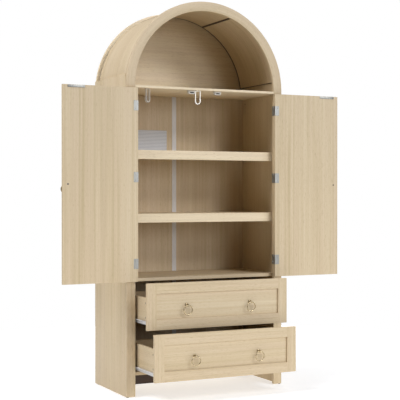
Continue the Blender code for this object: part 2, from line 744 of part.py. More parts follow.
def doors():
    """Two framed doors on three hinges each, open flat against the face frame."""
    for label, side in (("left", -1), ("right", 1)):
        axis = (side * HINGE_AXIS_X, HINGE_AXIS_Y, DOOR_BOTTOM_Z + DOOR_HEIGHT / 2)
        swing = joint_empty("door_hinge_axis_" + label, axis)
        across = sorted((side * DOOR_HINGE_EDGE, side * DOOR_FREE_EDGE))
        door = recessed_front(
            "door_" + label, (across[0], DOOR_BOTTOM_Z), (across[1], DOOR_TOP_Z),
            DOOR_OUTER_Y, -1, FRONT_RAIL_WIDTH, OAK_FINISH, swing,
        )
        for place_name, level in zip(("bottom", "middle", "top"), hinge_levels()):
            end = label + "_" + place_name
            hinge_leaf("hinge_door_leaf_" + end, side, level, True, swing)
            hinge_leaf("hinge_frame_leaf_" + end, side, level, False, None)
        spot = side * (DOOR_FREE_EDGE - DOOR_PULL_INSET)
        height = DOOR_BOTTOM_Z + DOOR_HEIGHT / 2 + RING_WIRE
        add_pull_posts(door, (spot,), height, DOOR_OUTER_Y, 1)
        pull_ring("door_" + label, spot, height, DOOR_OUTER_Y, 1, swing)


def runner_levels(front_z):
    """Underside of the drawer sides and the centre height of the rollers."""
    side_z = front_z + DRAWER_SIDE_RISE
    return side_z, side_z + ROLLER_RISE


def cabinet_runners():
    """Channels with front rollers, spaced off the side panels to clear the stiles."""
    for hand, side in (("left", -1), ("right", 1)):
        for label, front_z in (("lower", LOWER_FRONT_Z), ("upper", UPPER_FRONT_Z)):
            low, roller_z = runner_levels(front_z)
            high = low + CHANNEL_HEIGHT
            wall = side * (INNER_HALF - FIT_GAP)
            plate = side * (OPENING_HALF - FIT_GAP)
            face = plate - side * RUNNER_METAL
            lip = side * (OPENING_HALF - CHANNEL_LIP)
            outline = (
                (wall, low), (lip, low), (lip, low + RUNNER_METAL), (face, low + RUNNER_METAL),
                (face, high - RUNNER_METAL), (lip, high - RUNNER_METAL), (lip, high), (wall, high),
                (wall, high - RUNNER_METAL), (plate, high - RUNNER_METAL),
                (plate, low + RUNNER_METAL), (wall, low + RUNNER_METAL),
            )
            parts = bmesh.new()
            prism(parts, outline, "Y", EDGE_SETBACK, BACK_PANEL_Y - SHELF_REAR_GAP)
            name = "cabinet_runner_" + label + "_" + hand
            runner = place(name, parts, RUNNER_FINISH, (plate, EDGE_SETBACK, roller_z))
            wheel_end = side * (OPENING_HALF - CABINET_ROLLER_WIDTH)
            reach = sorted((wheel_end, plate - side * RUNNER_METAL / 2))
            wheel = bmesh.new()
            wheel_y = EDGE_SETBACK + ROLLER_FROM_END
            outline = circle(wheel_y, roller_z, ROLLER_RADIUS, SMALL_ROUND_SIDES)
            prism(wheel, outline, "X", *reach)
            combine(runner, wheel, "UNION", name + "_roller")
            shade_round(runner)


def drawer(label, front_z, opened):
    """One drawer: front, box, runners with rear rollers, and two ring pulls."""
    slide = joint_empty("drawer_slide_" + label, (0.0, -opened, front_z))
    front_half = OPENING_HALF - DOOR_SIDE_GAP
    top_z = front_z + DRAWER_FRONT_HEIGHT
    front = recessed_front(
        "drawer_front_" + label, (-front_half, front_z), (front_half, top_z),
        -opened, 1, FRONT_RAIL_WIDTH, OAK_FINISH, slide,
    )
    side_z, roller_z = runner_levels(front_z)
    side_top = top_z - DRAWER_SIDE_DROP
    start = BOARD - opened + FIT_GAP
    end = start + DRAWER_LENGTH
    groove_z = side_z + DRAWER_BOTTOM_RISE
    groove_top = groove_z + DRAWER_BOTTOM + 2 * FIT_GAP
    for hand, side in (("left", -1), ("right", 1)):
        out = side * DRAWER_SIDE_X
        inner = side * (DRAWER_SIDE_X - DRAWER_WALL)
        slot = side * (DRAWER_SIDE_X - DRAWER_WALL + DRAWER_SLOT_DEPTH)
        profile = (
            (out, side_z), (out, side_top), (inner, side_top), (inner, groove_top),
            (slot, groove_top), (slot, groove_z), (inner, groove_z), (inner, side_z),
        )
        parts = bmesh.new()
        prism(parts, profile, "Y", start, end)
        place("drawer_side_" + label + "_" + hand, parts, OAK_FINISH, (out, start, side_z), slide)
        wall = out + side * FIT_GAP
        wall_out = wall + side * RUNNER_METAL
        wing = side * (OPENING_HALF - WING_GAP)
        under = side_z - FIT_GAP
        high = side_z + WING_RISE
        profile = (
            (inner, under), (inner, under - RUNNER_METAL), (wall_out, under - RUNNER_METAL),
            (wall_out, high - RUNNER_METAL), (wing, high - RUNNER_METAL), (wing, high),
            (wall, high), (wall, under),
        )
        parts = bmesh.new()
        prism(parts, profile, "Y", start + DRAWER_RUNNER_SETBACK, end)
        name = "drawer_runner_" + label + "_" + hand
        runner = place(name, parts, RUNNER_FINISH, (out, start, side_z), slide)
        wheel = bmesh.new()
        wheel_end = side * (OPENING_HALF - DRAWER_ROLLER_GAP)
        reach = sorted((wall + side * RUNNER_METAL / 2, wheel_end))
        outline = circle(end - ROLLER_FROM_END, roller_z, ROLLER_RADIUS, SMALL_ROUND_SIDES)
        prism(wheel, outline, "X", *reach)
        combine(runner, wheel, "UNION", name + "_roller")
        shade_round(runner)
    between = DRAWER_SIDE_X - DRAWER_WALL - FIT_GAP
    board(
        "drawer_back_" + label, (-between, end - DRAWER_WALL, groove_top),
        (between, end, side_top), OAK_FINISH, slide, 0.0,
    )
    floor_half = DRAWER_SIDE_X - DRAWER_WALL + DRAWER_SLOT_DEPTH - FIT_GAP
    board(
        "drawer_bottom_" + label, (-floor_half, start, groove_z + FIT_GAP),
        (floor_half, end, groove_z + FIT_GAP + DRAWER_BOTTOM), INSIDE_FINISH, slide, 0.0,
    )
    height = front_z + DRAWER_FRONT_HEIGHT / 2 + RING_WIRE
    panel_y = RECESS_DEPTH - opened
    add_pull_posts(front, (-PULL_SPREAD, PULL_SPREAD), height, panel_y, -1)
    for hand, side in (("left", -1), ("right", 1)):
        pull_ring(label + "_" + hand, side * PULL_SPREAD, height, panel_y, -1, slide)


clear_scene()
side_panels()
face_frame()
arch_rear_board()
curved_shell()
horizontal_boards()
rear_panels()
shelves()
magnetic_catches()
hanging_loops()
doors()
cabinet_runners()
drawer("upper", UPPER_FRONT_Z, UPPER_DRAWER_OPEN)
drawer("lower", LOWER_FRONT_Z, LOWER_DRAWER_OPEN)
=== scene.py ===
"""Looks of the arched armoire: laminated oak boards, brass ring pulls, nickel hinges and steel runners.

Metres, +Z up, the doors and drawers face -Y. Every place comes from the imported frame.
"""
import json
import math

import bmesh
import bpy
from mathutils import Matrix, Vector


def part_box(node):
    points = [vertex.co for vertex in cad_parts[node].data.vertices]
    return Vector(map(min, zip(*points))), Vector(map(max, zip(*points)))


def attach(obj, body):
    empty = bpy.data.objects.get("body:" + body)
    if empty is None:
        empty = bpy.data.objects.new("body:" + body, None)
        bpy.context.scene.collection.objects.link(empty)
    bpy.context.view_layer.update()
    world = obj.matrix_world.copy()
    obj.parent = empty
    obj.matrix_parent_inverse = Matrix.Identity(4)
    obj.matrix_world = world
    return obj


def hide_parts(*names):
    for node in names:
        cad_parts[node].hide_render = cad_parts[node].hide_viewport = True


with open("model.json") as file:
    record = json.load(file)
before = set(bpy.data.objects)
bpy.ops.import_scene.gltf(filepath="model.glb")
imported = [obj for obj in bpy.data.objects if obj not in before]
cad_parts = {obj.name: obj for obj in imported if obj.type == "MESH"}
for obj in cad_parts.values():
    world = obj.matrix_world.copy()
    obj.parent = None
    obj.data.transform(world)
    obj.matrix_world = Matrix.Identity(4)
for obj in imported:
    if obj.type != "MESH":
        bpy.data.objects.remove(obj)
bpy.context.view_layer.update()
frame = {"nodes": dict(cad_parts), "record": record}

# Camera and lights
CAMERA_LEFT = 2.1614
CAMERA_AHEAD_OF_FRONT = 4.3410
CAMERA_HEIGHT = 0.9136
CAMERA_YAW_DEG = 26.1
CAMERA_PITCH_DEG = -0.35
CAMERA_LENS = 94.3
CAMERA_SENSOR = 36.0
KEY_SHADE = "F2F6FF"
SIDE_SHADE = "F2F5FF"
WASH_SHADE = "F6F6FA"
WASH_STRENGTH = 0.10
FLOOR_RADIUS = 2.4
FLOOR_DROP = 0.0004
# Softboxes: name, place, aim, width, power and shade
SOFTBOXES = (
    ("key_softbox", (2.90, -7.00, 5.90), (0.0, 0.0, 1.1), 2.4, 322.0, KEY_SHADE),
    ("cross_softbox", (5.95, -6.60, 2.25), (0.0, 0.0, 1.0), 2.2, 130.0, KEY_SHADE),
    ("low_softbox", (2.30, -8.70, 2.30), (0.0, 0.0, 0.9), 2.6, 150.0, KEY_SHADE),
    ("side_softbox", (-2.60, -0.20, 3.70), (-0.4, 0.1, 1.0), 1.8, 136.0, SIDE_SHADE),
    ("rear_softbox", (2.40, 3.60, 2.20), (0.0, 0.2, 0.9), 1.8, 60.0, SIDE_SHADE),
)

# Board work
EDGE_EASING = 0.0008
THIN_EASING = 0.0003
SEAM_EASING = 0.00012
HAIR_GAP = 0.0003
ARC_STEPS_PER_TURN = 192

# Round top
SHELL_INSET = 0.012
SHELL_THICKNESS = 0.004
SHELL_JOINT_DEG = 25.0
SHELL_JOINT_GAP = 0.004
SHELL_REAR_GAP = 0.0080
SEAT_TURN_DEG = 0.18
REAR_STRIP_SUNK = 0.0022
STRIP_WEB_DEG = 0.24
STRIP_INNER_DEG = 0.75
STRIP_INNER_OVER = 0.0020
STRIP_INNER_GAP = 0.0004
COVER_DEG = 1.3
COVER_LOW = 0.0003
COVER_HIGH = 0.0015
RIM_STEPS = 96

# Framed fronts
RAIL_WIDTH = 0.046
RECESS_DEPTH = 0.0075
PULL_BASE_DEPTH = 0.005
STRIKE_FROM_FREE_EDGE = 0.022
STRIKE_LENGTH = 0.080
STRIKE_HEIGHT = 0.011
STRIKE_FROM_TOP = 0.0010
STRIKE_THICKNESS = 0.0010
STRIKE_SCREW_INSET = 0.007

# Fittings
GLIDE_RADIUS = 0.0060
GLIDE_HEIGHT = 0.0030
GLIDE_FROM_REAR = 0.030
PULL_STAND_OFF = 0.015
RING_WIRE_OVER = 0.0005
HINGE_SCREW_STEP = 0.013
HINGE_SCREW_RADIUS = 0.0026
DOOR_LEAF_SCREW_INSET = 0.008
FRAME_LEAF_SCREW_DEPTH = 0.0085
FRAME_LEAF_THICKNESS = 0.0008
STRIKE_SCREW_RADIUS = 0.0022
SUNK_SCREW_RADIUS = 0.0021
SUNK_SCREW_LIFT = 0.0001
MAGNET_HALF_WIDTH = 0.0095
MAGNET_PROUD = 0.0007
MAGNET_SUNK = 0.0004
MAGNET_LOW = 0.0030
MAGNET_HIGH = 0.0085
MAGNET_EASING = 0.0012
RULE_SPACING_MM = 7
# A wave texture of scale 1 repeats every tau / 20
WAVE_TURNS = 20
LABEL_LOW = (-0.210, 1.1152)
LABEL_HIGH = (-0.040, 1.2232)
LABEL_BACK = 0.0001
LABEL_FRONT = 0.0004
LABEL_CORNER = 0.0020
WALL_HOLE_FROM_FRONT = 0.337
WALL_HOLE_HEIGHT = 1.366
DRAWER_SCREW_FROM_END = 0.0225
DRAWER_SCREW_RISES = (0.054, 0.118)

# Places read from the frame
side_low, side_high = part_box("side_panel_right")
stile_low, stile_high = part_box("stile_right")
floor_low, floor_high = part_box("niche_floor")

HALF = side_high.x
OPENING_HALF = stile_low.x
FRONT_Y = stile_low.y
REAR_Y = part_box("arch_rear")[1].y
BOARD = stile_high.y - stile_low.y
ARCH_Z = floor_high.z
NICHE_BOTTOM_Z = floor_low.z
SHELL_OUTER = HALF - SHELL_INSET
SHELL_INNER = SHELL_OUTER - SHELL_THICKNESS
SHELL_END_DEG = math.degrees(math.acos((side_high.z - ARCH_Z) / SHELL_OUTER))

SIDES = (("left", -1), ("right", 1))

# Growth rings of a flame: their spacing, how far they are drawn out, and their middle in each board
RING_SPACING_MM = 11.0
RING_DRAW = 26
SIDE_HEART = (0.02, 0.55)
INSIDE_HEART = (0.1, 0.3, 0.4)
REAR_HEART = (0.2, REAR_Y, 1.52)
FRONT_HEART_SHIFT = (0.04, -0.05)
# Share of those rings in the print of each board
SIDE_FIGURE = 0.14
INSIDE_FIGURE = 0.10
REAR_FIGURE = 0.14
FRONT_FIGURE = 0.24

# Where each group of boards is cut from the endless print
CUT = {
    "side": 11, "stile": 17, "inside": 23, "round_front": 41, "round_rear": 43, "bent": 51,
    "cover": 57, "door": 61, "upper": 83, "lower": 101,
}

# Printed oak shades: dark, middle, pale and the warmer tint that comes and goes
OAK = ("C0AA82", "CFBA95", "D9C7A5", "D2BA9C")
# A paler copy of the oak print: painted light on the shelves, the niche floor and the round rear board
PAINTED_LIGHT_OAK = ("D3BF9A", "E3D0AC", "EBDAB9", "E4CDAF")
# A near-black copy of the oak print for the kick rail: painted shade of the deep shadow under the lower
# drawer
PAINTED_DEEP_SHADE_OAK = ("2B1A0C", "38230F", "452C14", "3F2812")
# A darker, redder copy of the oak print for the rear panels: painted shade inside the bays
PAINTED_SHADE_OAK = ("BBA57C", "CAB490", "D4C29F", "CDB496")
BOARD_SHADES = {
    "kick_rail": PAINTED_DEEP_SHADE_OAK, "shelf_lower": PAINTED_LIGHT_OAK, "shelf_upper": PAINTED_LIGHT_OAK, "niche_floor": PAINTED_LIGHT_OAK,
    "back_panel_left": PAINTED_SHADE_OAK, "back_panel_right": PAINTED_SHADE_OAK,
}


# ---------------------------------------------------------------- materials


def colour(code):
    """An sRGB hex code as a linear colour with alpha."""
    parts = [int(code[start:start + 2], 16) / 255 for start in (0, 2, 4)]
    linear = [p / 12.92 if p <= 0.04045 else ((p + 0.055) / 1.055) ** 2.4 for p in parts]
    return (*linear, 1.0)


def add_node(tree, kind, values=None, stops=(), **settings):
    """Add a node; values are numbers or sockets to link, settings its choices, stops a ramp's."""
    node = tree.nodes.new(kind)
    for name, setting in settings.items():
        setattr(node, name, setting)
    for number, (position, shade) in enumerate(stops):
        marks = node.color_ramp.elements
        mark = marks[number] if number < len(marks) else marks.new(position)
        mark.position = position
        mark.color = colour(shade)
    for socket, value in (values or {}).items():
        if isinstance(value, bpy.types.NodeSocket):
            tree.links.new(value, node.inputs[socket])
        else:
            node.inputs[socket].default_value = value
    return node


def new_finish(name):
    """An empty Principled material and its node tree, shader and Object coordinates."""
    made = bpy.data.materials.new(name)
    made.use_nodes = True
    tree = made.node_tree
    shader = tree.nodes["Principled BSDF"]
    place = add_node(tree, "ShaderNodeTexCoord").outputs["Object"]
    return made, tree, shader, place


def grain_layer(tree, place, grain, width_mm, length_mm, seed, detail, roughness=0.5):
    """Noise drawn out along the grain, with features of a given width and length."""
    scale = [1000 / width_mm] * 3
    scale["XYZ".index(grain)] = 1000 / length_mm
    shift = (seed * 3.17 % 41, seed * 7.31 % 37, seed * 5.73 % 43)
    stretched = add_node(
        tree, "ShaderNodeMapping", {"Vector": place, "Location": shift, "Scale": scale}
    ).outputs["Vector"]
    return add_node(
        tree, "ShaderNodeTexNoise",
        {"Vector": stretched, "Scale": 1.0, "Detail": detail, "Roughness": roughness},
    ).outputs["Fac"]


def weighted(tree, terms):
    """Sum of (socket, weight) terms."""
    total = None
    for socket, weight in terms:
        if total is None:
            node = add_node(tree, "ShaderNodeMath", {0: socket, 1: weight}, operation="MULTIPLY")
        else:
            node = add_node(
                tree, "ShaderNodeMath", {0: socket, 1: weight, 2: total}, operation="MULTIPLY_ADD"
            )
        total = node.outputs["Value"]
    return total


def round_place(tree, place):
    """Coordinates of a bent board: X runs round the arc, Y along it and Z away from its centre."""
    split = add_node(tree, "ShaderNodeSeparateXYZ", {"Vector": place}).outputs
    rise = add_node(
        tree, "ShaderNodeMath", {0: split["Z"], 1: ARCH_Z}, operation="SUBTRACT"
    ).outputs["Value"]
    turn = add_node(
        tree, "ShaderNodeMath", {0: split["X"], 1: rise}, operation="ARCTAN2"
    ).outputs["Value"]
    length = add_node(
        tree, "ShaderNodeMath", {0: turn, 1: SHELL_OUTER}, operation="MULTIPLY"
    ).outputs["Value"]
    flat = add_node(
        tree, "ShaderNodeCombineXYZ", {"X": split["X"], "Y": rise}
    ).outputs["Vector"]
    away = add_node(tree, "ShaderNodeVectorMath", {0: flat}, operation="LENGTH").outputs["Value"]
    return add_node(
        tree, "ShaderNodeCombineXYZ", {"X": length, "Y": split["Y"], "Z": away}
    ).outputs["Vector"]


def oak_laminate(name, grain, seed, figure=0.0, heart=(0.0, 0.0, 0.0), shades=OAK, bent=False):
    """Light-oak melamine laminate: printed paper pressed onto chipboard with a fine embossed pore.

    It gives the eye straight streaks, now and then a soft flame, and a dull, even sheen.
    Streaks are 3 to 60 mm wide; the flame's rings are uneven and drawn out along the grain.
    """
    made, tree, shader, place = new_finish(name)
    if bent:
        place = round_place(tree, place)
    bands = grain_layer(tree, place, grain, 70, 2600, seed, 1.0)
    streaks = grain_layer(tree, place, grain, 13, 900, seed + 1, 2.0, 0.6)
    fibres = grain_layer(tree, place, grain, 3.2, 190, seed + 2, 3.0, 0.6)
    pores = grain_layer(tree, place, grain, 0.9, 22, seed + 3, 2.0)
    tint = grain_layer(tree, place, grain, 45, 1300, seed + 4, 1.0)

    scale = [1000 / RING_SPACING_MM] * 3
    scale["XYZ".index(grain)] = 1000 / RING_SPACING_MM / RING_DRAW
    shift = [-centre * size for centre, size in zip(heart, scale)]
    heart_place = add_node(
        tree, "ShaderNodeMapping", {"Vector": place, "Location": shift, "Scale": scale}
    ).outputs["Vector"]
    away = add_node(tree, "ShaderNodeVectorMath", {0: heart_place}, operation="LENGTH").outputs["Value"]
    ring_place = weighted(tree, ((away, 1.0), (streaks, 1.6), (bands, 3.0)))
    rings = add_node(
        tree, "ShaderNodeTexNoise",
        {"W": ring_place, "Scale": 1.0, "Detail": 2.0, "Roughness": 0.5}, noise_dimensions="1D",
    ).outputs["Fac"]

    tone = weighted(
        tree, ((bands, 0.26), (streaks, 0.34), (fibres, 0.40 - figure), (rings, figure))
    )
    dark, mid, pale, warm = shades
    wood = add_node(
        tree, "ShaderNodeValToRGB", {"Fac": tone}, ((0.34, dark), (0.66, pale), (0.50, mid))
    ).outputs["Color"]
    blush_share = add_node(
        tree, "ShaderNodeValToRGB", {"Fac": tint}, ((0.42, "000000"), (0.62, "8A8A8A"))
    ).outputs["Color"]
    blush = add_node(
        tree, "ShaderNodeMix", {0: blush_share, 6: wood, 7: colour(warm)}, data_type="RGBA"
    ).outputs[2]
    pore_mark = add_node(
        tree, "ShaderNodeValToRGB", {"Fac": pores}, ((0.60, "FFFFFF"), (0.74, "D6CBBC"))
    ).outputs["Color"]
    printed = add_node(
        tree, "ShaderNodeMix", {0: 1.0, 6: blush, 7: pore_mark},
        data_type="RGBA", blend_type="MULTIPLY",
    ).outputs[2]
    tree.links.new(printed, shader.inputs["Base Color"])

    sheen = add_node(
        tree, "ShaderNodeMapRange",
        {"Value": streaks, "From Min": 0.3, "From Max": 0.7, "To Min": 0.48, "To Max": 0.60},
    ).outputs["Result"]
    tree.links.new(sheen, shader.inputs["Roughness"])
    relief = weighted(tree, ((fibres, 0.35), (pores, -0.65)))
    bump = add_node(
        tree, "ShaderNodeBump", {"Height": relief, "Strength": 0.20, "Distance": 0.0003}
    ).outputs["Normal"]
    tree.links.new(bump, shader.inputs["Normal"])
    return made


def cloudy(name, shade, other, size_mm, roughness, spread=0.08, metallic=0.0, bump=0.0, stretch=None):
    """A finish with a faint cloud of a second shade, uneven roughness and a fine relief."""
    made, tree, shader, place = new_finish(name)
    scale = [1000 / size_mm] * 3
    if stretch:
        scale["XYZ".index(stretch)] /= 14
    spot = add_node(tree, "ShaderNodeMapping", {"Vector": place, "Scale": scale}).outputs["Vector"]
    noise = add_node(
        tree, "ShaderNodeTexNoise", {"Vector": spot, "Scale": 1.0, "Detail": 4.0, "Roughness": 0.6}
    ).outputs["Fac"]
    cloud = add_node(tree, "ShaderNodeValToRGB", {"Fac": noise}, ((0.35, shade), (0.70, other)))
    tree.links.new(cloud.outputs["Color"], shader.inputs["Base Color"])
    uneven = add_node(
        tree, "ShaderNodeMapRange",
        {"Value": noise, "From Min": 0.3, "From Max": 0.7,
         "To Min": roughness - spread, "To Max": roughness + spread},
    ).outputs["Result"]
    tree.links.new(uneven, shader.inputs["Roughness"])
    shader.inputs["Metallic"].default_value = metallic
    if bump:
        relief = add_node(
            tree, "ShaderNodeBump", {"Height": noise, "Strength": bump, "Distance": 0.0002}
        ).outputs["Normal"]
        tree.links.new(relief, shader.inputs["Normal"])
    return made


def satin_brass():
    """Brass-plated zinc, barrel-polished and lacquered: warm pale gold with a soft highlight."""
    return cloudy("satin_brass_plate", "AD9872", "DCCDAB", 3.0, 0.26, 0.05, metallic=1.0)


def nickel_plate():
    """Nickel-plated pressed steel: a cool grey-white metal with faint rolling marks."""
    return cloudy("nickel_plated_steel", "92918A", "AEACA3", 2.5, 0.46, 0.07, 0.9, 0.08, "Z")


def pale_nickel():
    """Satin nickel on bent steel bar: pale and a little warm, with a broad soft highlight."""
    return cloudy("pale_satin_nickel", "E9E3D6", "F9F5EC", 2.0, 0.36, 0.05, metallic=0.4, bump=0.05)


def powder_coated_steel():
    """White epoxy powder coat on rolled steel: bright, slightly pebbled and half glossy."""
    return cloudy("white_powder_coat", "DAD9D8", "E6E5E4", 1.6, 0.38, 0.05, bump=0.12)


def white_moulding():
    """White injection-moulded ABS: smooth, with a low even gloss."""
    return cloudy("white_moulded_abs", "CFC9BD", "DDD8CD", 6.0, 0.36, 0.04)


def grey_extrusion():
    """Pale grey extruded PVC strip: faint draw lines along its length."""
    return cloudy("pale_grey_extruded_pvc", "CFCBC6", "DDDAD6", 1.5, 0.42, 0.05, 0.0, 0.06, "Z")


def dark_strip_and_gap_shade():
    """Dark brown extruded PVC strip in the joints of the round top, its near-black colour partly painted
    shade of the gaps: a dull sheen with faint draw lines along its length.
    """
    return cloudy("dark_joint_strip_with_painted_gap_shade", "2A1C12", "3A281B", 2.0, 0.45, 0.06, 0.0, 0.06, "Y")


def magnet_iron():
    """Sintered magnet and its plated pole plates: near black, half dull."""
    return cloudy("dark_magnet_iron", "2C2A28", "45423E", 1.2, 0.50, 0.08, 0.7)


def glide_plastic():
    """Grey injection-moulded polythene: dull and cloudy, scuffed by the floor."""
    return cloudy("grey_polythene_glide", "85837F", "9C9A95", 1.5, 0.55, 0.08, bump=0.1)


def chipboard_and_hole_shade():
    """Raw chipboard at the bottom of a drilled hole: dark brown crumbs, made near black with the painted
    shade of the hole.
    """
    return cloudy("chipboard_with_painted_hole_shade", "3A2A1B", "5A432C", 0.9, 0.85, 0.05, bump=0.3)


def studio_floor():
    """Matt white sheet: a soft shadow under the piece, glowing up to white at its rim."""
    made, tree, shader, place = new_finish("pale_studio_floor")
    away = add_node(tree, "ShaderNodeVectorMath", {0: place}, operation="LENGTH").outputs["Value"]
    glow = add_node(
        tree, "ShaderNodeMapRange",
        {"Value": away, "From Min": 0.5, "From Max": FLOOR_RADIUS, "To Min": 0.58, "To Max": 0.97},
    ).outputs["Result"]
    tree.links.new(glow, shader.inputs["Emission Strength"])
    shader.inputs["Emission Color"].default_value = colour("FFFFFF")
    shader.inputs["Base Color"].default_value = colour("CFCECC")
    shader.inputs["Roughness"].default_value = 0.9
    shader.inputs["Specular IOR Level"].default_value = 0.1
    return made


def label_paper():
    """Uncoated white label paper, dull and slightly fibrous, blank but for faint rules 7 mm apart."""
    made, tree, shader, place = new_finish("blank_ruled_label_paper")
    fibre = add_node(
        tree, "ShaderNodeTexNoise", {"Vector": place, "Scale": 900.0, "Detail": 3.0}
    ).outputs["Fac"]
    paper = add_node(
        tree, "ShaderNodeValToRGB", {"Fac": fibre}, ((0.3, "CFD0D2"), (0.7, "DEDFE0"))
    ).outputs["Color"]
    scale = (0.0, 0.0, 1000 / RULE_SPACING_MM * math.tau / WAVE_TURNS)
    rule_place = add_node(
        tree, "ShaderNodeMapping", {"Vector": place, "Scale": scale}
    ).outputs["Vector"]
    rules = add_node(
        tree, "ShaderNodeTexWave", {"Vector": rule_place, "Scale": 1.0},
        wave_type="BANDS", bands_direction="Z",
    ).outputs["Fac"]
    line = add_node(
        tree, "ShaderNodeValToRGB", {"Fac": rules}, ((0.75, "FFFFFF"), (0.95, "BFC3C8"))
    ).outputs["Color"]
    ruled = add_node(
        tree, "ShaderNodeMix", {0: 1.0, 6: paper, 7: line}, data_type="RGBA", blend_type="MULTIPLY"
    ).outputs[2]
    tree.links.new(ruled, shader.inputs["Base Color"])
    shader.inputs["Roughness"].default_value = 0.8
    return made


# ---------------------------------------------------------------- shapes


def block(low, high, easing=EDGE_EASING, segments=2):
    """A board-shaped bmesh between two corners, with its edges eased."""
    low, high = Vector(low), Vector(high)
    parts = bmesh.new()
    bmesh.ops.create_cube(parts, size=1.0)
    bmesh.ops.scale(parts, vec=high - low, verts=parts.verts)
    bmesh.ops.translate(parts, vec=(low + high) / 2, verts=parts.verts)
    if easing:
        ease(parts, parts.edges[:], easing, segments)
    return parts


def ease(parts, edges, width, segments=2):
    """Round some edges of a bmesh."""
    bmesh.ops.bevel(
        parts, geom=edges, offset=width, offset_type="OFFSET", segments=segments,
        profile=0.5, affect="EDGES", clamp_overlap=True, material=-1,
    )


def sharp_edges(parts, angle_deg=35.0):
    """Edges whose two faces meet at more than an angle."""
    limit = math.radians(angle_deg)
    return [e for e in parts.edges if len(e.link_faces) == 2 and e.calc_face_angle() > limit]


def turned(profile, steps=32):
    """A round piece about Z, turned from (radius, height) points, bottom to top."""
    parts = bmesh.new()
    points = [parts.verts.new((radius, 0.0, height)) for radius, height in profile]
    edges = [parts.edges.new(pair) for pair in zip(points, points[1:])]
    bmesh.ops.spin(
        parts, geom=[*points, *edges], cent=(0, 0, 0), axis=(0, 0, 1), dvec=(0, 0, 0),
        angle=math.tau, steps=steps, use_merge=True, use_duplicate=False,
    )
    bmesh.ops.remove_doubles(parts, verts=parts.verts, dist=1e-6)
    bmesh.ops.recalc_face_normals(parts, faces=parts.faces)
    return parts


def arc_body(inner, outer, start_y, end_y, start_deg, end_deg):
    """A curved board about the round top's centre; zero degrees is straight up."""
    parts = bmesh.new()
    corners = [
        parts.verts.new((0.0, depth, ARCH_Z + radius))
        for depth, radius in ((start_y, inner), (start_y, outer), (end_y, outer), (end_y, inner))
    ]
    face = parts.faces.new(corners)
    centre = Vector((0.0, 0.0, ARCH_Z))
    first = Matrix.Rotation(math.radians(start_deg), 3, "Y")
    bmesh.ops.rotate(parts, verts=parts.verts, cent=centre, matrix=first)
    steps = max(4, round((end_deg - start_deg) / 360 * ARC_STEPS_PER_TURN))
    bmesh.ops.spin(
        parts, geom=[*corners, *face.edges, face], cent=centre, axis=(0, 1, 0), dvec=(0, 0, 0),
        angle=math.radians(end_deg - start_deg), steps=steps, use_merge=False, use_duplicate=False,
    )
    bmesh.ops.recalc_face_normals(parts, faces=parts.faces)
    return parts


def joined(*others):
    """Several bmeshes as one, in order."""
    whole = bmesh.new()
    for other in others:
        mesh = bpy.data.meshes.new("joining")
        other.to_mesh(mesh)
        other.free()
        whole.from_mesh(mesh)
        bpy.data.meshes.remove(mesh)
    return whole


def moved_to(parts, place, toward=(0, 0, 1)):
    """Turn a shape made about Z to point a way, and move it to a place."""
    turn = Vector((0, 0, 1)).rotation_difference(Vector(toward)).to_matrix()
    bmesh.ops.rotate(parts, verts=parts.verts, cent=(0, 0, 0), matrix=turn)
    bmesh.ops.translate(parts, verts=parts.verts, vec=Vector(place))
    return parts


def piece(name, parts, finish, body, stands_for=(), smooth_deg=35.0):
    """Make a finished piece from a bmesh, riding on a body."""
    bmesh.ops.recalc_face_normals(parts, faces=parts.faces)
    mesh = bpy.data.meshes.new(name)
    parts.to_mesh(mesh)
    parts.free()
    mesh.shade_smooth()
    mesh.set_sharp_from_angle(angle=math.radians(smooth_deg))
    mesh.materials.append(finish)
    made = bpy.data.objects.new(name, mesh)
    bpy.context.scene.collection.objects.link(made)
    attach(made, body)
    if stands_for:
        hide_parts(*stands_for)
    return made


def repaint(node, finish):
    """Give a kept CAD node its finish."""
    slots = frame["nodes"][node].data.materials
    slots.clear()
    slots.append(finish)


def body_of_node(node):
    """The body that a CAD node belongs to."""
    bodies = frame["record"]["behaviour"]["bodies"]
    return next(body for body, members in bodies.items() if node in members)


def smooth_copy(name, node, finish):
    """A merged, smooth-shaded copy that stands for a CAD node."""
    parts = bmesh.new()
    parts.from_mesh(frame["nodes"][node].data)
    bmesh.ops.remove_doubles(parts, verts=parts.verts, dist=1e-6)
    return piece(name, parts, finish, body_of_node(node), (node,), 40.0)


# ---------------------------------------------------------------- carcass


def carcass_boards():
    """Side panels, stiles, inner boards and thin rear panels."""
    for label, side in SIDES:
        low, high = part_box("side_panel_" + label)
        low.z += GLIDE_HEIGHT
        board = block(low, high)
        heart = (side * HALF, *SIDE_HEART)
        finish = oak_laminate("oak_side_panel_" + label, "Z", CUT["side"] + side, SIDE_FIGURE, heart)
        piece(
            "side_board_" + label, board, finish, "carcass", ("side_panel_" + label,)
        )
        low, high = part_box("stile_" + label)
        low.z += GLIDE_HEIGHT
        finish = oak_laminate("oak_stile_" + label, "Z", CUT["stile"] + side)
        piece(
            "stile_board_" + label, block(low, high), finish, "carcass",
            ("stile_" + label,),
        )
    kept = (
        ("niche_floor", "X"), ("cabinet_deck", "X"), ("bottom_board", "X"), ("kick_rail", "X"),
        ("shelf_lower", "X"), ("shelf_upper", "X"), ("back_panel_left", "Z"),
        ("back_panel_right", "Z"),
    )
    for seed, (node, grain) in enumerate(kept, start=CUT["inside"]):
        # Some inner boards take the painted light and painted shade copies of the oak print
        shades = BOARD_SHADES.get(node, OAK)
        finish = oak_laminate("oak_" + node, grain, seed, INSIDE_FIGURE, INSIDE_HEART, shades)
        repaint(node, finish)
    repaint("back_joiner_strip", grey_extrusion())


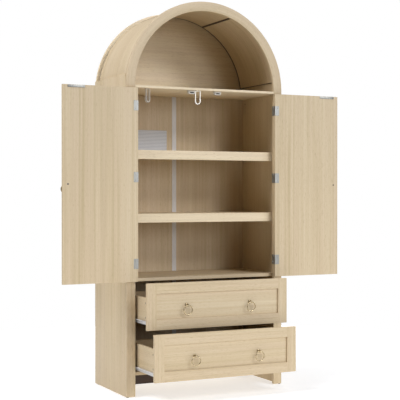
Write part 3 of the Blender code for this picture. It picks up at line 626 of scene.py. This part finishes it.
def glides():
    """Four nail-on glides, each a flat-bottomed turned cap."""
    finish = glide_plastic()
    foot = (
        (0.0, 0.0), (GLIDE_RADIUS - 0.0008, 0.0), (GLIDE_RADIUS, 0.0006),
        (GLIDE_RADIUS, GLIDE_HEIGHT), (0.0, GLIDE_HEIGHT),
    )
    depths = (("front", FRONT_Y + BOARD / 2), ("rear", side_high.y - GLIDE_FROM_REAR))
    for place_name, depth in depths:
        for label, side in SIDES:
            spot = (side * (HALF - BOARD / 2), depth, 0.0)
            piece(f"glide_{place_name}_{label}", moved_to(turned(foot), spot), finish, "carcass")


def round_front():
    """The round front board, standing on the stiles."""
    parts = arc_body(OPENING_HALF, HALF, FRONT_Y, FRONT_Y + BOARD, -90.0, 90.0)
    ends = [f for f in parts.faces if f.normal.z < -0.999 and f.calc_center_median().z < ARCH_Z + 1e-4]
    for end in ends:
        grown = bmesh.ops.extrude_face_region(parts, geom=[end])
        moved = [item for item in grown["geom"] if isinstance(item, bmesh.types.BMVert)]
        bmesh.ops.translate(parts, verts=moved, vec=(0.0, 0.0, NICHE_BOTTOM_Z - ARCH_Z))
        if end.is_valid:
            bmesh.ops.delete(parts, geom=[end], context="FACES_ONLY")
    bmesh.ops.recalc_face_normals(parts, faces=parts.faces)
    ease(parts, sharp_edges(parts), EDGE_EASING)
    finish = oak_laminate("oak_round_front", "X", CUT["round_front"], bent=True)
    piece("round_front_board", parts, finish, "carcass", ("arch_front",))


def round_rear():
    """The round rear board: a rim spun from one point, and a tongue between the side panels."""
    over = side_high.z + HAIR_GAP
    inside = HALF - BOARD - HAIR_GAP
    front = REAR_Y - BOARD
    half_turn = math.acos((over - ARCH_Z) / HALF)
    parts = bmesh.new()
    first = parts.verts.new((-HALF * math.sin(half_turn), front, over))
    bmesh.ops.spin(
        parts, geom=[first], cent=(0.0, front, ARCH_Z), axis=(0, 1, 0), dvec=(0, 0, 0),
        angle=2 * half_turn, steps=RIM_STEPS, use_merge=False, use_duplicate=False,
    )
    outline = sorted(parts.verts, key=lambda point: math.atan2(point.co.x, point.co.z - ARCH_Z))
    tongue = (
        (inside, over), (inside, NICHE_BOTTOM_Z), (-inside, NICHE_BOTTOM_Z), (-inside, over),
    )
    outline += [parts.verts.new((across, front, height)) for across, height in tongue]
    face = parts.faces.new(outline)
    grown = bmesh.ops.extrude_face_region(parts, geom=[face])
    moved = [item for item in grown["geom"] if isinstance(item, bmesh.types.BMVert)]
    bmesh.ops.translate(parts, verts=moved, vec=(0.0, BOARD, 0.0))
    bmesh.ops.recalc_face_normals(parts, faces=parts.faces)
    ease(parts, sharp_edges(parts), EDGE_EASING)
    seed = CUT["round_rear"]
    # The round rear board takes the paler copy of the oak print: painted light
    finish = oak_laminate("oak_round_rear", "X", seed, REAR_FIGURE, REAR_HEART, PAINTED_LIGHT_OAK)
    piece("round_rear_board", parts, finish, "carcass", ("arch_rear",))


def round_shell():
    """Three bent panels, the strips and covers in their joints, and the strips they sit on."""
    half_gap = math.degrees(SHELL_JOINT_GAP / 2 / SHELL_INNER)
    start_y = FRONT_Y + BOARD + HAIR_GAP
    end_y = REAR_Y - BOARD - SHELL_REAR_GAP
    spans = (
        ("left", -SHELL_END_DEG, -SHELL_JOINT_DEG - half_gap),
        ("top", -SHELL_JOINT_DEG + half_gap, SHELL_JOINT_DEG - half_gap),
        ("right", SHELL_JOINT_DEG + half_gap, SHELL_END_DEG),
    )
    for seed, (label, first, last) in enumerate(spans, start=CUT["bent"]):
        parts = arc_body(SHELL_INNER, SHELL_OUTER, start_y, end_y, first, last)
        ease(parts, sharp_edges(parts), THIN_EASING, 1)
        finish = oak_laminate("oak_bent_panel_" + label, "X", seed, bent=True)
        piece("bent_panel_" + label, parts, finish, "carcass", ("shell_" + label,))
    # The dark strips fill the gaps at the joints and rims of the bent panels: partly real dark strips,
    # partly painted shade of those gaps
    finish = dark_strip_and_gap_shade()
    rear = arc_body(
        SHELL_INNER, SHELL_OUTER - REAR_STRIP_SUNK, end_y + HAIR_GAP, REAR_Y - BOARD - HAIR_GAP,
        -SHELL_END_DEG, SHELL_END_DEG,
    )
    piece("rear_joint_strip", rear, finish, "carcass", ("shell_top",))
    for label, side in SIDES:
        middle = side * SHELL_END_DEG
        seat = arc_body(
            SHELL_INNER - HAIR_GAP, SHELL_OUTER + HAIR_GAP, start_y, REAR_Y - BOARD - HAIR_GAP,
            middle - SEAT_TURN_DEG, middle + SEAT_TURN_DEG,
        )
        piece("seat_strip_" + label, seat, finish, "carcass", ("shell_top",))
    for label, side in SIDES:
        middle = side * SHELL_JOINT_DEG
        lip = SHELL_INNER - STRIP_INNER_GAP
        parts = joined(
            arc_body(
                SHELL_INNER - STRIP_INNER_OVER, lip, start_y, end_y,
                middle - STRIP_INNER_DEG, middle + STRIP_INNER_DEG,
            ),
            arc_body(
                lip, SHELL_OUTER, start_y, end_y, middle - STRIP_WEB_DEG, middle + STRIP_WEB_DEG
            ),
        )
        piece("joint_strip_" + label, parts, finish, "carcass", ("shell_top",))
        cover = arc_body(
            SHELL_OUTER + COVER_LOW, SHELL_OUTER + COVER_HIGH, start_y, end_y,
            middle - COVER_DEG, middle + COVER_DEG,
        )
        ease(cover, sharp_edges(cover), THIN_EASING, 1)
        cover_finish = oak_laminate("oak_joint_cover_" + label, "Y", CUT["cover"] + side, bent=True)
        piece("joint_cover_" + label, cover, cover_finish, "carcass", ("shell_top",))


# ---------------------------------------------------------------- fronts and pulls


def framed_front(label, low, high, face_y, inward, grain, seed, body, node):
    """A slab with two stiles and two rails laid on its face, all for one CAD front."""
    slab_y = face_y + inward * RECESS_DEPTH
    back_y = face_y + inward * BOARD
    left, bottom = low
    right, top = high
    inner_left = left + RAIL_WIDTH
    inner_right = right - RAIL_WIDTH
    spans = (
        ("slab", (left, bottom), (right, top), slab_y, back_y, grain),
        ("stile_left", (left, bottom), (inner_left, top), face_y, slab_y, "Z"),
        ("stile_right", (inner_right, bottom), (right, top), face_y, slab_y, "Z"),
        ("rail_bottom", (inner_left, bottom), (inner_right, bottom + RAIL_WIDTH), face_y, slab_y, "X"),
        ("rail_top", (inner_left, top - RAIL_WIDTH), (inner_right, top), face_y, slab_y, "X"),
    )
    for index, (part, start, end, outer, inner, way) in enumerate(spans):
        near, far = sorted((outer, inner))
        parts = block((start[0], near, start[1]), (end[0], far, end[1]), SEAM_EASING, 1)
        name = f"{label}_{part}"
        figure = FRONT_FIGURE if part == "slab" else 0.0
        shift_x, shift_z = FRONT_HEART_SHIFT
        heart = ((left + right) / 2 + shift_x, slab_y, (bottom + top) / 2 + shift_z)
        finish = oak_laminate("oak_" + name, way, seed + 3 * index, figure, heart)
        piece(name, parts, finish, body, (node,))


def pull_post(label, spot, face_y, outward, brass, body, node, sunk=0.0):
    """A turned rose and stem, and the sleeve that the ring hangs in; the rose may reach further in."""
    across, height = spot
    base = (across, face_y, height)
    toward = (0, outward, 0)
    reach = PULL_STAND_OFF
    under = -HAIR_GAP - sunk
    profile = (
        (0.0, under), (0.0076, under), (0.0078, 0.0006), (0.0072, 0.0014), (0.0056, 0.0019),
        (0.0045, 0.0027), (0.0036, 0.0042), (0.0031, 0.0070), (0.0033, reach - 0.0062),
        (0.0041, reach - 0.0049), (0.0, reach - 0.0047),
    )
    stem = moved_to(turned(profile, 40), base, toward)
    half = 0.0036
    sleeve_profile = (
        (0.0029, -half), (0.0048, -half), (0.0054, -half + 0.0006), (0.0055, 0.0),
        (0.0054, half - 0.0006), (0.0048, half), (0.0029, half), (0.0029, -half),
    )
    eye = (across, face_y + outward * PULL_STAND_OFF, height)
    sleeve = moved_to(turned(sleeve_profile, 32), eye, (1, 0, 0))
    piece("pull_post_" + label, joined(stem, sleeve), brass, body, (node,), 50.0)


def pull_ring(label, brass):
    """The wire ring of one pull, in the place of its CAD ring."""
    low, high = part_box("pull_ring_" + label)
    centre = (low + high) / 2
    wire = (high.y - low.y) / 2 + RING_WIRE_OVER
    radius = (high.z - low.z) / 2 - wire
    parts = bmesh.new()
    section = Matrix.Translation((radius, 0, 0)) @ Matrix.Rotation(math.pi / 2, 4, "X")
    bmesh.ops.create_circle(parts, cap_ends=False, radius=wire, segments=16, matrix=section)
    bmesh.ops.spin(
        parts, geom=[*parts.verts, *parts.edges], cent=(0, 0, 0), axis=(0, 0, 1), dvec=(0, 0, 0),
        angle=math.tau, steps=72, use_merge=True, use_duplicate=False,
    )
    moved_to(parts, centre, (0, 1, 0))
    node = "pull_ring_" + label
    piece("ring_" + label, parts, brass, body_of_node(node), (node,), 80.0)


def door_fronts(brass, nickel, hole):
    """Two doors with their pulls, strike plates and the screws that hold the pulls."""
    for label, side in SIDES:
        node = "door_" + label
        body = label + "_door"
        low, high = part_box(node)
        inner_y = low.y
        face_y = inner_y + BOARD
        seed = CUT["door"] + 17 * side
        framed_front(node, (low.x, low.z), (high.x, high.z), face_y, -1, "Z", seed, body, node)
        ring_low, ring_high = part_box("pull_ring_door_" + label)
        across = (ring_low.x + ring_high.x) / 2
        wire = (ring_high.y - ring_low.y) / 2
        height = ring_high.z - wire
        pull_post("door_" + label, (across, height), face_y, 1, brass, body, node)
        free = max(abs(low.x), abs(high.x)) - STRIKE_FROM_FREE_EDGE
        near, far = sorted((side * free, side * (free - STRIKE_LENGTH)))
        plate_y = inner_y - STRIKE_THICKNESS
        plate_top = high.z - STRIKE_FROM_TOP
        plate = block(
            (near, plate_y, plate_top - STRIKE_HEIGHT), (far, inner_y, plate_top), THIN_EASING
        )
        piece("strike_plate_" + label, plate, nickel, body)
        screw_z = plate_top - STRIKE_HEIGHT / 2
        ends = (near + STRIKE_SCREW_INSET, far - STRIKE_SCREW_INSET)
        spots = [(screw_x, plate_y, screw_z) for screw_x in ends]
        name = "strike_plate_screws_" + label
        screw_group(name, spots, (0, -1, 0), STRIKE_SCREW_RADIUS, nickel, body)
        spot = (across, inner_y, height)
        sunk_screw("pull_screw_" + label, spot, (0, -1, 0), nickel, hole, body)


# ---------------------------------------------------------------- screws


def screw_head(radius):
    """A low domed head with a cross recess, pointing up from z = 0."""
    parts = turned(
        ((0.0, -0.0002), (radius, -0.0002), (radius, 0.0), (radius * 0.86, radius * 0.16),
         (radius * 0.45, radius * 0.27), (0.0, radius * 0.29)),
        24,
    )
    arm = radius * 0.62
    half = radius * 0.13
    tool = joined(
        block((-arm, -half, radius * 0.12), (arm, half, radius), 0.0),
        block((-half, -arm, radius * 0.11), (half, arm, radius * 1.01), 0.0),
    )
    return cut(parts, tool)


def cut(parts, tool):
    """Take one bmesh out of another with a Boolean."""
    made = []
    for shape in (parts, tool):
        bmesh.ops.recalc_face_normals(shape, faces=shape.faces)
        mesh = bpy.data.meshes.new("cutting")
        shape.to_mesh(mesh)
        shape.free()
        made.append(bpy.data.objects.new("cutting", mesh))
        bpy.context.scene.collection.objects.link(made[-1])
    change = made[0].modifiers.new("cut", "BOOLEAN")
    change.operation = "DIFFERENCE"
    change.solver = "EXACT"
    change.use_self = True
    change.object = made[1]
    graph = bpy.context.evaluated_depsgraph_get()
    result = bpy.data.meshes.new_from_object(made[0].evaluated_get(graph))
    whole = bmesh.new()
    whole.from_mesh(result)
    for used in made:
        bpy.data.objects.remove(used, do_unlink=True)
    return whole


SCREW_MESHES = {}


def screw_copy(radius):
    """A fresh copy of the screw head of one radius."""
    if radius not in SCREW_MESHES:
        head = screw_head(radius)
        mesh = bpy.data.meshes.new(f"screw_head_{len(SCREW_MESHES)}")
        head.to_mesh(mesh)
        head.free()
        SCREW_MESHES[radius] = mesh
    parts = bmesh.new()
    parts.from_mesh(SCREW_MESHES[radius])
    return parts


def screw_group(name, spots, toward, radius, finish, body):
    """Screw heads that hold one fitting, as one piece."""
    heads = [moved_to(screw_copy(radius), spot, toward) for spot in spots]
    return piece(name, joined(*heads), finish, body, smooth_deg=30.0)


def sunk_screw(name, spot, toward, metal, hole, body):
    """A screw in a drilled recess: a dark rim, its darkness painted shade of the recess, with a small head
    inside.
    """
    profile = (
        (0.0, -0.0006), (0.0040, -0.0006), (0.0040, 0.00012), (0.0036, 0.00016), (0.0, 0.00016),
    )
    rim = turned(profile, 28)
    piece(name + "_recess_shade", moved_to(rim, spot, toward), hole, body)
    lifted = Vector(spot) + Vector(toward) * SUNK_SCREW_LIFT
    screw_group(name, [lifted], toward, SUNK_SCREW_RADIUS, metal, body)


# ---------------------------------------------------------------- hinges and fittings


def hinges(nickel):
    """Three hinges on each door: a wrapped door leaf, a frame leaf, knuckles and a pin."""
    for label, side in SIDES:
        for place_name in ("bottom", "middle", "top"):
            end = f"{label}_{place_name}"
            door_leaf(end, side, nickel, label + "_door")
            frame_leaf(end, side, nickel)


def door_leaf(end, side, nickel, body):
    """The leaf that wraps round the hinge edge of a door onto its inner face."""
    node = "hinge_door_leaf_" + end
    smooth_copy("door_leaf_" + end, node, nickel)
    low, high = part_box(node)
    middle = (low.z + high.z) / 2
    far = high.x if side > 0 else low.x
    across = far - side * DOOR_LEAF_SCREW_INSET
    spots = [(across, low.y, middle + turn * HINGE_SCREW_STEP) for turn in (-1, 1)]
    name = "door_leaf_screws_" + end
    screw_group(name, spots, (0, -1, 0), HINGE_SCREW_RADIUS, nickel, body)


def frame_leaf(end, side, nickel):
    """The leaf on the edge of the stile, with the pin."""
    node = "hinge_frame_leaf_" + end
    smooth_copy("frame_leaf_" + end, node, nickel)
    low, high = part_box(node)
    middle = (low.z + high.z) / 2
    face = side * (OPENING_HALF - HAIR_GAP - FRAME_LEAF_THICKNESS)
    depth = FRONT_Y + FRAME_LEAF_SCREW_DEPTH
    spots = [(face, depth, middle + turn * HINGE_SCREW_STEP) for turn in (-1, 1)]
    name = "frame_leaf_screws_" + end
    screw_group(name, spots, (-side, 0, 0), HINGE_SCREW_RADIUS, nickel, "carcass")


def catches(plastic, iron):
    """Two magnetic catches: a moulded case with the magnet's face in it."""
    for label in ("left", "right"):
        node = "magnetic_catch_" + label
        smooth_copy("catch_case_" + label, node, plastic)
        low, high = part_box(node)
        middle = (low.x + high.x) / 2
        face = block(
            (middle - MAGNET_HALF_WIDTH, low.y - MAGNET_PROUD, low.z + MAGNET_LOW),
            (middle + MAGNET_HALF_WIDTH, low.y + MAGNET_SUNK, low.z + MAGNET_HIGH),
            MAGNET_EASING, 3,
        )
        piece("catch_magnet_" + label, face, iron, "carcass")


def hanging_loops(metal):
    """Two bent flat-bar loops under the niche floor."""
    for label in ("left", "middle"):
        smooth_copy("bent_bar_loop_" + label, "hanging_loop_" + label, metal)


def rear_label():
    """A paper label on the left rear panel."""
    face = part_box("back_panel_left")[0].y
    (left, bottom), (right, top) = LABEL_LOW, LABEL_HIGH
    parts = block((left, face - LABEL_FRONT, bottom), (right, face - LABEL_BACK, top), 0.0)
    corners = [e for e in parts.edges if abs((e.verts[0].co - e.verts[1].co).normalized().y) > 0.9]
    ease(parts, corners, LABEL_CORNER, 3)
    piece("paper_label", parts, label_paper(), "carcass")


def wall_hole(hole):
    """A drilled hole near the rear of the right side panel: a flat dark disc whose colour is painted shade
    of the hole.
    """
    spot = (side_low.x, FRONT_Y + WALL_HOLE_FROM_FRONT, WALL_HOLE_HEIGHT)
    rim = turned(((0.0, -0.0004), (0.0026, -0.0004), (0.0026, 0.0001), (0.0, 0.0001)), 24)
    piece("side_panel_hole", moved_to(rim, spot, (-1, 0, 0)), hole, "carcass")


# ---------------------------------------------------------------- drawers


def drawers(brass, white, nickel, hole):
    """Two drawers on their runners, with two pulls on each."""
    for label in ("upper", "lower"):
        seed = CUT[label]
        body = label + "_drawer"
        front = "drawer_front_" + label
        low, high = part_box(front)
        face_y = high.y - BOARD
        framed_front(front, (low.x, low.z), (high.x, high.z), face_y, 1, "X", seed, body, front)
        for hand, side in SIDES:
            end = f"{label}_{hand}"
            ring_low, ring_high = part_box("pull_ring_" + end)
            wire = (ring_high.y - ring_low.y) / 2
            spot = ((ring_low.x + ring_high.x) / 2, ring_high.z - wire)
            sunk = RECESS_DEPTH - PULL_BASE_DEPTH
            pull_post(end, spot, face_y + PULL_BASE_DEPTH, -1, brass, body, front, sunk)
            side_node = "drawer_side_" + end
            repaint(side_node, oak_laminate("oak_" + side_node, "Y", seed + 7 + side))
            box_low, box_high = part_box(side_node)
            outer = box_high.x if side > 0 else box_low.x
            for number, rise in enumerate(DRAWER_SCREW_RISES):
                spot = (outer, box_low.y + DRAWER_SCREW_FROM_END, low.z + rise)
                name = f"side_screw_{end}_{number}"
                sunk_screw(name, spot, (side, 0, 0), nickel, hole, body)
            for made, node in (("drawer_slide_", "drawer_runner_"), ("cabinet_slide_", "cabinet_runner_")):
                smooth_copy(made + end, node + end, white)
        for node in ("drawer_back_" + label, "drawer_bottom_" + label):
            repaint(node, oak_laminate("oak_" + node, "X", seed + 12 + len(node)))


# ---------------------------------------------------------------- studio


def soft_light(name, place, target, size, power, shade):
    """A square softbox aimed at a point."""
    light = bpy.data.lights.new(name, "AREA")
    light.shape = "SQUARE"
    light.size = size
    light.energy = power
    light.color = colour(shade)[:3]
    lamp = bpy.data.objects.new(name, light)
    lamp.location = place
    lamp.rotation_euler = (Vector(target) - Vector(place)).to_track_quat("-Z", "Y").to_euler()
    bpy.context.scene.collection.objects.link(lamp)


def studio():
    """Pale floor, white surroundings, softboxes and the camera."""
    scene = bpy.context.scene
    camera = bpy.data.cameras.new("camera")
    camera.lens = CAMERA_LENS
    camera.sensor_width = CAMERA_SENSOR
    camera.clip_end = 200.0
    eye = bpy.data.objects.new("camera", camera)
    eye.location = (-CAMERA_LEFT, FRONT_Y - CAMERA_AHEAD_OF_FRONT, CAMERA_HEIGHT)
    eye.rotation_euler = (
        math.radians(90 + CAMERA_PITCH_DEG), 0.0, math.radians(-CAMERA_YAW_DEG)
    )
    scene.collection.objects.link(eye)
    scene.camera = eye
    scene.view_settings.view_transform = "Standard"

    parts = bmesh.new()
    bmesh.ops.create_circle(parts, cap_ends=True, radius=FLOOR_RADIUS, segments=128)
    mesh = bpy.data.meshes.new("floor")
    parts.to_mesh(mesh)
    parts.free()
    floor = bpy.data.objects.new("floor", mesh)
    floor.location.z = -FLOOR_DROP
    scene.collection.objects.link(floor)
    mesh.materials.append(studio_floor())

    world = bpy.data.worlds.new("white_studio")
    scene.world = world
    world.use_nodes = True
    tree = world.node_tree
    tree.nodes.clear()
    seen = add_node(tree, "ShaderNodeLightPath").outputs["Is Camera Ray"]
    wash = add_node(tree, "ShaderNodeBackground", {"Color": colour(WASH_SHADE), "Strength": WASH_STRENGTH})
    white = add_node(tree, "ShaderNodeBackground", {"Color": colour("FFFFFF"), "Strength": 1.0})
    mixed = add_node(tree, "ShaderNodeMixShader", {0: seen, 1: wash.outputs[0], 2: white.outputs[0]})
    add_node(tree, "ShaderNodeOutputWorld", {"Surface": mixed.outputs[0]})

    for softbox in SOFTBOXES:
        soft_light(*softbox)


studio()
brass = satin_brass()
nickel = nickel_plate()
white_steel = powder_coated_steel()
hole = chipboard_and_hole_shade()
carcass_boards()
glides()
round_front()
round_rear()
round_shell()
door_fronts(brass, nickel, hole)
hinges(nickel)
catches(white_moulding(), magnet_iron())
hanging_loops(pale_nickel())
rear_label()
wall_hole(hole)
drawers(brass, white_steel, nickel, hole)
for ring in ("door_left", "door_right", "upper_left", "upper_right", "lower_left", "lower_right"):
    pull_ring(ring, brass)
